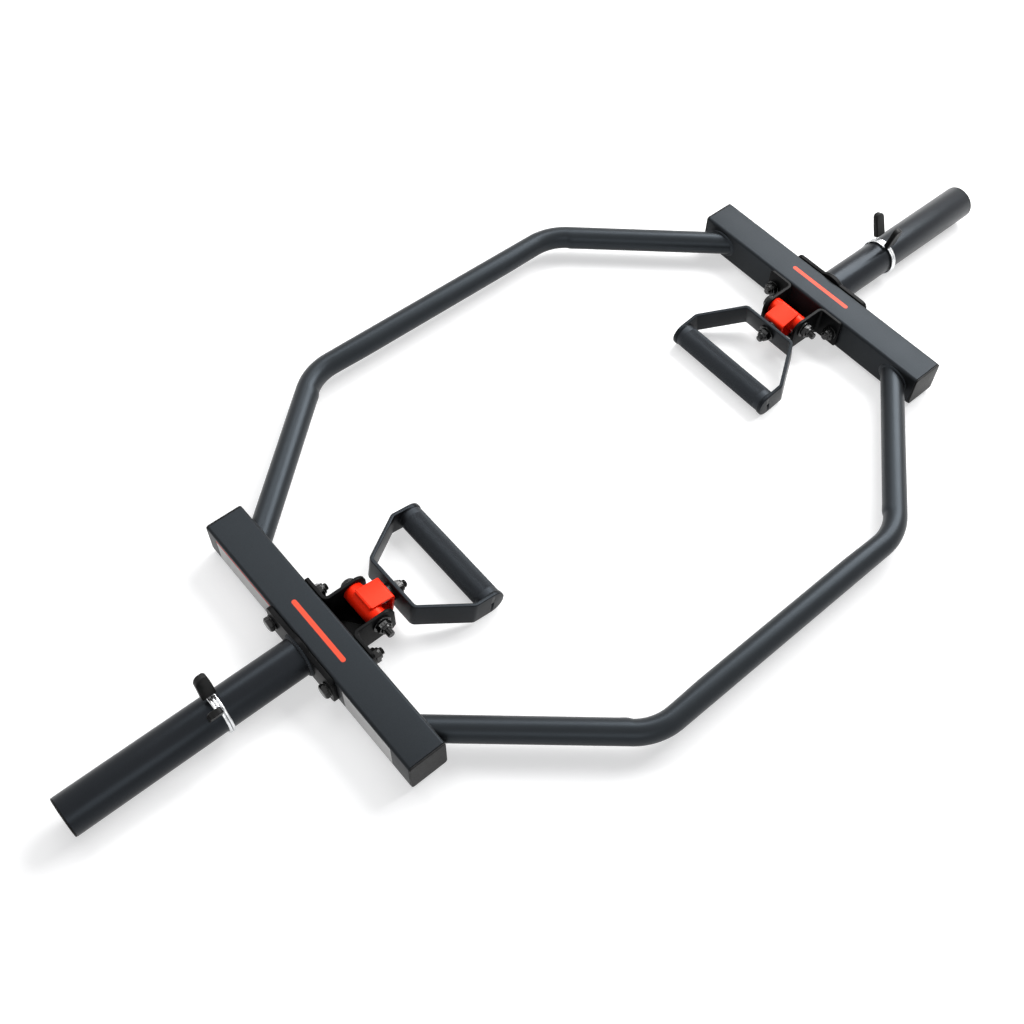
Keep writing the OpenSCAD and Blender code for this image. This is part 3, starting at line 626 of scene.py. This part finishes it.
def hexShape(stations, loop=False):
    # Stations (along, radius) on X: the outline is the smaller of the hexagon
    # flats / 2 / cos(angle from the nearest flat) and the station's circle
    along, circle = np.asarray(stations, float).T[:, :, None]
    angle = roundAngles(96)
    fromFlat = (angle + math.pi / 6) % (math.pi / 3) - math.pi / 6
    r = np.minimum(hexForm["flats"] / 2 / np.cos(fromFlat), circle)
    return ringShell(ringsAboutX(along, r, angle), loop)


def boltShell(length, thread):
    # Head before X = 0 and shank after it. The head's corners are cut by a cone. The thread's
    # radius is d / 2 - depth |2 frac(along / pitch - angle / 360) - 1|, so its crests wind on.
    d, flats, pitch = hexForm["d"], hexForm["flats"], hexForm["pitch"]
    head, low, high = hexForm["head"] * d, hexForm["face"] * flats, flats / math.sqrt(3)
    cone = [(-head + 0.3 + t * 1.6, low + t * (high - low)) for t in np.linspace(0, 1, 7)]
    stations = [(-head, 0), (-head, low - 0.8), (-head + 0.15, low - 0.25), *cone,
                (-0.7, high), (-0.45, high - 0.5), (-0.4, low), (0, low), (0, 0)]
    angle = roundAngles(40)
    along = np.minimum(np.arange(length - thread, length + pitch / 8, pitch / 8), length)
    wave = abs(2 * ((along[:, None] / pitch - angle / turnOnce) % 1) - 1)
    fade = np.clip((along - along[0]) / pitch, 0, 1)[:, None]
    tip = d / 2 - np.clip(along[:, None] - length + hexForm["tip"] * d, 0, None)
    r = np.minimum(d / 2 - hexForm["threadDepth"] * pitch * wave * fade, tip)
    start = ringsAboutX(0.0, d / 2 + 0 * angle, angle)[None]
    return [hexShape(stations), ringShell(np.concatenate([start, ringsAboutX(along[:, None], r, angle)]))]


def nutShell():
    # Hexagon with chamfered corners, then the round collar that is rolled in over the locking
    # ring; the line turns back down the bore and closes on itself
    d, flats = hexForm["d"], hexForm["flats"]
    full, low, bore = flats / math.sqrt(3), hexForm["face"] * flats, d / 2 + hexForm["nutSlack"]
    cone = [(0.2 + t * 1.2, low + t * (full - low)) for t in np.linspace(0.2, 1, 5)]
    collarLine = [(x * d, r * flats) for x, r in hexForm["nutCollar"]]
    stations = [(0, bore), (0, low - 0.3), (0.2, low), *cone, (hexForm["nutBody"] * d, full), (0.66 * d, low + 0.4),
                *collarLine, (d, d / 2 + 0.9), (0.96 * d, d / 2 + 0.5), (0.93 * d, bore)]
    return hexShape(stations, loop=True)


def washerShell(radius, thick):
    # A flat ring as a closed line of (along, radius), its outer rim chamfered and rounded
    bore, e = hexForm["d"] / 2 + hexForm["washerSlack"], hexForm["washerEdge"]
    profile = [(0, bore), (0, radius - 3 * e), (e, radius), (thick - e, radius), (thick - e / 3, radius - e),
               (thick, radius - 2 * e), (thick, bore)]
    return revolve(profile, 64, loop=True)


def fastener(b, kind, span, degrees):
    # The shells of a bolt, nut or washer along X, turned about X. A bolt holds a span between
    # head and nut and stands out of the nut, and its thread starts runOut before the nut.
    tail = hexForm["d"] + b["proud"]
    if kind == "bolt":
        shells = boltShell(span + tail, tail + b["runOut"])
    else:
        shells = [nutShell() if kind == "nut" else washerShell(b["washer"], b["washerThick"])]
    a = math.radians(degrees)
    return [placed(shell, 0, (1, 0, 0), (0, math.cos(a), math.sin(a))) for shell in shells]


def plateBoltShells(kind, degrees):
    # Bolt, nut or the two washers at one plate bolt, along -X from outside the plate
    b = plateBolt
    seats = {"bolt": [(b["headX"], -1)], "nut": [(b["nutX"], -1)],
             "washer": [(b["headX"] - b["washerThick"], 1), (b["nutX"] + b["washerThick"], -1)]}[kind]
    parts = fastener(b, kind, b["headX"] - b["nutX"], degrees)
    return [placed(p, (x, b["y"], axisHeight), (way, 0, 0), (0, way, 0)) for x, way in seats for p in parts]


def pivotBoltShells(kind, degrees):
    # Bolt, nut or the two washers of the pivot, along -Y from behind the rear ear
    b = pivotBolt
    inside = b["seatY"] - b["washerThick"]
    seats = {"bolt": [(b["seatY"], -1)], "nut": [(-b["seatY"], -1)], "washer": [(inside, 1), (-inside, -1)]}[kind]
    parts = fastener(b, kind, 2 * b["seatY"], degrees)
    height = axisHeight + b["rise"]
    return [placed(p, (b["x"], y, height), (0, way, 0), (-way, 0, 0)) for y, way in seats for p in parts]


for side in sides:
    for kind, node, turns in (("bolt", "plate_bolts", (7, 41)), ("nut", "plate_nuts", (17, 52)),
                              ("washer", "plate_washers", (0, 0))):
        shells = plateBoltShells(kind, turns[0]) + [mirrored(p) for p in plateBoltShells(kind, turns[1])]
        addSided(side, f"hex_{node}", "frame", blackOxide, shells, node)
    for kind, node, turned in (("bolt", "bolt", 12), ("nut", "nut", 21), ("washer", "washers", 0)):
        addSided(side, f"hex_pivot_{node}", "frame", blackOxide, pivotBoltShells(kind, turned),
                 f"pivot_{node}")
print("frame fasteners ready")


# The yoke: barrel, saddle and swivel bolt, on an axis that droops from the pivot. Distances
# along that axis count from the pivot.
yoke = {"barrelRadius": 13.0, "barrelHalf": 26.2, "barrelEdge": 0.6, "bore": 8.0, "bushOut": 7.96, "bushIn": 5.06,
        "bushLength": 20.0, "bushEdge": 0.3, "saddleInner": 13.04, "saddleThick": 3.0, "saddleBack": 4.3,
        "saddleFront": 29.5, "saddleWidth": 33.0, "saddleBend": 1.0, "saddleEdge": 0.5, "bead": 1.9,
        "ripple": 0.09, "rippleTurn": 3.2, "droop": 9.864}
swivel = {"proud": 5.0, "runOut": 1.0, "washer": 12.0, "washerThick": 2.75, "head": 26.5, "nut": 42.95,
          "washers": (29.5, 32.25, 40.2)}
droop = math.radians(yoke["droop"])
pivotPoint = np.array([pivotBolt["x"], 0, axisHeight + pivotBolt["rise"]])
outward = np.array([-math.cos(droop), 0, -math.sin(droop)])


def atPivot(shell):
    # Local X leads from the pivot to the grip, local Y along the pivot bolt
    return placed(shell, pivotPoint, outward, (0, 1, 0))


def alongY(shell, origin=(0, 0, 0)):
    # A shell's own X laid along the pivot bolt
    return placed(shell, origin, (0, 1, 0), (-1, 0, 0))


def barrelShell():
    # Barrel wall as a closed line of (along, radius), its outer rims rounded
    half, r, e = yoke["barrelHalf"], yoke["barrelRadius"], yoke["barrelEdge"]
    rear = [(half - e, r), (half - 0.3 * e, r - 0.3 * e), (half, r - e), (half, yoke["bore"])]
    return atPivot(alongY(revolve([(-x, y) for x, y in rear[::-1]] + rear, 96, loop=True)))


def saddleShell():
    # The sheet's middle line goes over the barrel, down in front of it and back below; it is
    # drawn in XY and then laid on its side, so its width runs along the pivot bolt
    thick, half, back = yoke["saddleThick"], yoke["saddleWidth"] / 2, -yoke["saddleBack"]
    mid, front = yoke["saddleInner"] + thick / 2, yoke["saddleFront"] - thick / 2
    bend = yoke["saddleBend"] + thick / 2
    line = rounded([(back, -mid), (front, -mid), (front, mid), (back, mid)], [0, bend, bend, 0], 9, closed=False)
    points, faces = flatBar(line, thick, lambda s, total: 0 * s - half, lambda s, total: 0 * s + half,
                            yoke["saddleEdge"], 0.9)
    return atPivot((points[:, [0, 2, 1]] * (1, -1, 1), faces))


def saddleBead():
    # Weld along the sheet's upper back edge: a rod whose radius ripples with a sine along it
    y = np.linspace(-1, 1, 81) * (yoke["saddleWidth"] / 2 - yoke["bead"])
    line = np.stack([0 * y - yoke["saddleBack"] - 0.2, y, 0 * y - yoke["saddleInner"] - 0.5], 1)
    return atPivot(rod(line, yoke["bead"] + yoke["ripple"] * np.sin(yoke["rippleTurn"] * y)))


def swivelShells(kind, degrees):
    # Bolt, nut or washers along the drooping axis
    seats = {"bolt": (swivel["head"],), "nut": (swivel["nut"],), "washer": swivel["washers"]}[kind]
    parts = fastener(swivel, kind, swivel["nut"] - swivel["head"], degrees)
    return [atPivot((points + (u, 0, 0), faces)) for u in seats for points, faces in parts]


def bushShells():
    # Two rings that end flush with the barrel, their outer ends chamfered
    length, edge, out, inner = yoke["bushLength"], yoke["bushEdge"], yoke["bushOut"], yoke["bushIn"]
    ring = revolve([(0, inner), (0, out), (length - edge, out), (length, out - edge), (length, inner + edge),
                    (length - edge, inner)], 64, loop=True)
    rear = alongY(ring, (0, yoke["barrelHalf"] - length, 0))
    return [atPivot(rear), atPivot(mirrored(rear))]


for side in sides:
    body = f"{side}_yoke"
    addSided(side, "pivot_barrel", body, redCoat, [barrelShell()], "barrel")
    addSided(side, "bent_saddle", body, redCoat, [saddleShell(), saddleBead()], "saddle")
    addSided(side, "bronze_bushes", body, bushBronze, bushShells(), "barrel_bushes")
    for kind, node, turned in (("bolt", "bolt", 8), ("nut", "nut", 24), ("washer", "washers", 0)):
        addSided(side, f"hex_swivel_{node}", body, blackOxide, swivelShells(kind, turned),
                 f"swivel_{node}")
print("yokes ready")


# The handle: a flat bar bent into a trapezoid, and the knurled grip between its arms
strap = {"width": 35.0, "thick": 5.0, "webU": 35.1, "webHalf": 44.4, "armU": 98.3, "gripHalf": 85.1, "gripU": 125.5,
         "bend": 4.0, "edge": 1.0, "vent": 5.0}
grip = {"radius": 16.5, "wall": 2.5, "half": 80.1, "plainEnd": 9.5, "plainInset": 0.12, "runIn": 0.6,
        "knurlPitch": 1.6, "knurlAround": 66, "knurlDepth": 0.32, "bead": (1.5, 0.95), "beadPitch": 2.0}


def strapShell():
    # The flat bar's middle line: out along one arm, across the web and back along the other.
    # Its width is even but for the ends, where it follows a half circle about the grip's axis.
    mid, endR = strap["thick"] / 2, strap["width"] / 2
    turn = math.atan2(strap["gripHalf"] - strap["webHalf"], strap["armU"] - strap["webU"])
    webCorner = (strap["webU"] + mid, strap["webHalf"] - mid * math.tan((math.pi / 2 - turn) / 2))
    armCorner = (strap["armU"] + mid * math.tan(turn / 2), strap["gripHalf"] - mid)
    half = [(strap["gripU"] + endR, strap["gripHalf"] - mid), armCorner, webCorner]
    r = strap["bend"] + mid
    line = rounded([(x, -y) for x, y in half] + half[::-1], [0, r, r, r, r, 0], 14, closed=False)

    def reach(s, total):
        return np.sqrt(np.clip(endR**2 - np.clip(endR - np.minimum(s, total - s), 0, endR) ** 2, 0.0004, None))

    return atPivot(flatBar(line, strap["thick"], lambda s, total: -reach(s, total), reach, strap["edge"], 0.9))


def gripShell():
    # Knurl: on a grid half a diamond apart, points whose row and column numbers add up to an
    # even number are peaks and the others lie deeper; each square is split along its groove.
    # Outside the knurled stretch the radius is even, and the bore closes the tube.
    count, start = 2 * grip["knurlAround"], grip["plainEnd"] - grip["half"]
    rowCount = 2 * int(round(-2 * start / grip["knurlPitch"])) + 1
    along = np.linspace(start, -start, rowCount)
    angle = roundAngles(count)
    odd = (np.arange(rowCount)[:, None] + np.arange(count)) % 2
    odd[[0, -1]] = 1
    plain, bore = grip["radius"] - grip["plainInset"], grip["radius"] - grip["wall"]
    first = np.array([(-grip["half"], bore), (-grip["half"], plain), (start - grip["runIn"], plain)])
    last = (first * (-1, 1))[::-1]
    along = np.concatenate([first[:, 0], along, last[:, 0]])
    flat, knurl = np.ones(count), grip["radius"] - grip["knurlDepth"] * odd
    r = np.concatenate([first[:, 1:] * flat, knurl, last[:, 1:] * flat])
    points, quads = ringShell(ringsAboutX(along[:, None], r, angle), loop=True)
    quads = np.array(quads)
    i, j = np.divmod(np.arange(len(quads)), count)
    even = ((i - 3 + j) % 2 == 0)[:, None]
    triangles = np.where(even[:, :, None], quads[:, [[0, 1, 3], [1, 2, 3]]], quads[:, [[0, 1, 2], [0, 2, 3]]])
    return atPivot(alongY((points, triangles.reshape(-1, 3).tolist()), (strap["gripU"], 0, 0)))


def gripBeads():
    # The beads where the grip's two ends meet the flat bar
    ring = ringBead(grip["radius"] - grip["plainInset"], grip["bead"], grip["beadPitch"], 160)
    rear = placed(ring, (strap["gripU"], grip["half"], 0), (0, -1, 0), (1, 0, 0))
    return [atPivot(rear), atPivot(mirrored(rear))]


def cutVents(piece, k):
    # The vent hole at each end of the grip: a round cutter through both ends of the flat bar
    end, r = strap["gripHalf"] + 2, strap["vent"] / 2
    through = alongY(revolve([(-end, 0), (-end, r), (end, r), (end, 0)], 32), (strap["gripU"], 0, 0))
    cutter = addPiece("ventCutter", "frame", strapCoat, [atPivot(through)], (k, 1))
    cut = piece.modifiers.new("vents", "BOOLEAN")
    cut.operation, cut.solver, cut.object = "DIFFERENCE", "EXACT", cutter
    bpy.context.view_layer.update()
    done = bpy.data.meshes.new_from_object(piece.evaluated_get(bpy.context.evaluated_depsgraph_get()))
    piece.modifiers.clear()
    piece.data = done
    bpy.data.objects.remove(cutter)


for side, k in sides.items():
    body = f"{side}_handle"
    flat = addSided(side, "bent_strap", body, strapCoat, [strapShell()], "handle_strap")
    cutVents(flat, k)
    addSided(side, "knurled_grip", body, gripCoat, [gripShell()], "hand_grip", sharp=12)
    addSided(side, "grip_beads", body, strapCoat, gripBeads(), "grip_welds")
print("handles ready")


# Spring collars. The wire turns twice and by its spread about the sleeve, and each end leaves
# it as a leg with a moulded grip, the paddle. Angles are in degrees from the first leg.
collar = {"x": 565.0, "wire": 1.75, "coilRadius": 27.05, "pitch": 3.7, "turn": 752.0, "spread": 32.0,
          "legBend": 3.85, "legTip": 54.0, "left": 7.5, "right": 5.0, "slack": 12.0, "overlap": 3.0,
          "thinner": 0.04}
paddle = {"width": 17.5, "thick": 8.0, "from": 30.9, "to": 67.5, "side": 3.75, "lean": 2.2,
          "inTip": 4.5, "outTip": 9.0, "edge": 1.4}


def polar(x, r, t, angle):
    # Point at x, a distance r along a direction about the sleeve's axis and t across it
    return np.stack(np.broadcast_arrays(x, r * np.cos(angle) - t * np.sin(angle),
                                        axisHeight + r * np.sin(angle) + t * np.cos(angle)), -1)


def coilLine(first, low, high):
    # Helix about the sleeve between two angles: x = pitch * angle / 360
    a = np.linspace(low, high, max(4, int((high - low) / 5)))
    x = collar["x"] + collar["pitch"] * a / 360
    return polar(x, collar["coilRadius"], 0, math.radians(first) + np.radians(a))


def legSeat(first, last):
    # Where a leg leaves the coil: its angle about the sleeve, its x and its offset sideways
    turned, way = (collar["turn"], 1) if last else (0, -1)
    return math.radians(first + turned), collar["x"] + collar["pitch"] * turned / 360, way * collar["legBend"]


def legShell(first, last):
    # A leg of the wire: straight from its tip, a quarter turn round a small bend, then a stretch
    # of the coil in which it grows thinner, so that it hides there however far it is squeezed
    angle, x, aside = legSeat(first, last)
    base, a = collar["coilRadius"] + collar["legBend"], np.radians(np.linspace(0, 90, 8))
    tip = polar(x, np.linspace(collar["legTip"], base, 6), aside, angle)
    bend = polar(x, base - collar["legBend"] * np.sin(a), aside * np.cos(a), angle)
    hidden = collar["slack"] + collar["overlap"]
    stretch = (collar["turn"], collar["turn"] - hidden) if last else (0, hidden)
    line = np.concatenate([tip[:-1], bend[:-1], coilLine(first, *stretch)])
    radius = np.full(len(line), collar["wire"])
    radius[-3:] -= collar["thinner"]
    return rod(line, radius)


def paddleShell(first, last):
    # Moulded grip: a flat bar along a radius of the sleeve. Its inboard edge leans outboard with
    # the square of the distance from the base, and the corners of its tip are round.
    angle, x, aside = legSeat(first, last)
    line = np.array([[paddle["from"], aside, 0.0], [paddle["to"], aside, 0.0]])

    def inboard(s, total):
        return paddle["lean"] * (s / total) ** 2 - paddle["side"] + roundOff(total - s, paddle["inTip"])

    def outboard(s, total):
        return paddle["width"] - paddle["side"] - roundOff(total - s, paddle["outTip"])

    points, faces = flatBar(line, paddle["thick"], inboard, outboard, paddle["edge"], 0.8)
    return polar(x + points[:, 2], points[:, 0], points[:, 1], angle), faces


for side in sides:
    turn = (1, -1) if side == "right" else (-1, 1)
    first = 90 + collar[side] - collar["spread"] / 2
    coil = rod(coilLine(first, collar["slack"], collar["turn"] - collar["slack"]), collar["wire"])
    addSided(side, "collar_coil", f"{side}_collar", springZinc, [coil], "collar_spring", turn)
    for end, last in (("inner", False), ("outer", True)):
        body = f"{side}_collar_{end}"
        addPiece(f"{side}_{end}_leg", body, springZinc, [legShell(first, last)], turn)
        addSided(side, f"{end}_paddle", body, collarRubber, [paddleShell(first, last)],
                 f"collar_{end}_grip", turn)
print("collars ready")


# Floor, world, lamps and camera, in metres
studio = {"floorReach": 6.0, "floorColor": 0.60, "floorChange": 0.005, "floorLift": 0.54, "fade": (1.5, 4.0),
          "worldColor": (0.9, 0.93, 1.0, 1), "worldStrength": 0.16}


def raySum(tree):
    # Is Camera Ray, Is Glossy Ray and Is Transmission Ray added up
    path = addNode(tree, "ShaderNodeLightPath").outputs
    two = mathNode(tree, "ADD", path["Is Camera Ray"], path["Is Glossy Ray"])
    return mathNode(tree, "ADD", two, path["Is Transmission Ray"], clamp=True)


def floorMaterial():
    # Pale paper. Camera, glossy and transmission rays also get light of its own: a little near
    # the bar, so that the shadow stays, and more with the distance, so that it has no edge
    material, tree, principled = newMaterial("paperFloor")
    place = addNode(tree, "ShaderNodeTexCoord").outputs["Object"]
    tone = addNode(tree, "ShaderNodeTexNoise", {"Vector": place, "Scale": 3.0})
    color, change = studio["floorColor"], studio["floorChange"]
    value = remap(tree, tone.outputs["Fac"], 0.0, 1.0, color - change, color + change)
    feed(tree, principled, {"Base Color": value, "Roughness": 0.9, "Specular IOR Level": 0.1})
    distance = addNode(tree, "ShaderNodeVectorMath", {0: place}, operation="LENGTH")
    fade = remap(tree, distance.outputs["Value"], *studio["fade"], studio["floorLift"], 1.0, "SMOOTHSTEP")
    light = addNode(tree, "ShaderNodeEmission", {"Strength": mathNode(tree, "MULTIPLY", raySum(tree), fade)})
    both = addNode(tree, "ShaderNodeAddShader", {0: principled.outputs[0], 1: light.outputs[0]})
    feed(tree, tree.nodes["Material Output"], {"Surface": both.outputs[0]})
    return material


floorMesh = bpy.data.meshes.new("studioFloor")
reach = studio["floorReach"]
floorMesh.from_pydata([(-reach, -reach, 0), (reach, -reach, 0), (reach, reach, 0), (-reach, reach, 0)], [],
                      [(0, 1, 2, 3)])
floorMesh.materials.append(floorMaterial())
floor = addObject("studioFloor", floorMesh)

world = bpy.data.worlds.new("studioWorld")
bpy.context.scene.world = world
world.use_nodes = True
worldTree = world.node_tree
dim = worldTree.nodes["Background"]
feed(worldTree, dim, {"Color": studio["worldColor"], "Strength": studio["worldStrength"]})
white = addNode(worldTree, "ShaderNodeBackground", {"Color": (1, 1, 1, 1), "Strength": 1.0})
either = {"Fac": raySum(worldTree), 1: dim.outputs[0], 2: white.outputs[0]}
chosen = addNode(worldTree, "ShaderNodeMixShader", either).outputs[0]
feed(worldTree, worldTree.nodes["World Output"], {"Surface": chosen})

lamps = {  # place, aim, size and watts of each softbox
    "keyBox": ((2.2, 0.35, 2.15), (0.1, -0.1, 0.0), (2.4, 1.5), 140.0),
    "backBox": ((0.2, 1.5, 2.4), (0.0, 0.1, 0.0), (2.0, 1.2), 34.0),
    "frontBox": ((-1.6, -2.2, 1.8), (0.0, 0.0, 0.0), (1.6, 1.2), 16.0)}
for name, (place, aim, size, watts) in lamps.items():
    light = bpy.data.lights.new(name, "AREA")
    light.shape, light.size, light.size_y, light.energy = "RECTANGLE", *size, watts
    lamp = addObject(name, light)
    direction = np.array(aim) - np.array(place)
    lamp.matrix_world = Matrix.Translation(place) @ Vector(direction).to_track_quat("-Z", "Y").to_matrix().to_4x4()

# The photo's camera: its place, the turn into its own axes, and in pixels its focal length,
# its middle and the width of the picture
shot = {"place": (-0.7097785, -0.6741820, 1.3622664),
        "turn": (2.403597680770533, -0.8887435197848867, 0.3508929064514099),
        "focal": 1262.970136535884, "middle": (584.2204, 471.9112), "frame": 1024.0}
cameraData = bpy.data.cameras.new("photoCamera")
cameraData.sensor_width = 36.0
cameraData.lens = shot["focal"] / shot["frame"] * cameraData.sensor_width
cameraData.shift_x = (shot["frame"] / 2 - shot["middle"][0]) / shot["frame"]
cameraData.shift_y = (shot["middle"][1] - shot["frame"] / 2) / shot["frame"]
camera = addObject("photoCamera", cameraData)
turnAxis = np.array(shot["turn"])
turnAngle = float(np.linalg.norm(turnAxis))
toCamera = Matrix.Rotation(turnAngle, 3, turnAxis / turnAngle)
lookDown = toCamera.transposed() @ Matrix.Diagonal((1, -1, -1))
camera.matrix_world = Matrix.Translation(shot["place"]) @ lookDown.to_4x4()
bpy.context.scene.camera = camera
bpy.context.scene.view_settings.view_transform = "Standard"
print("studio ready")
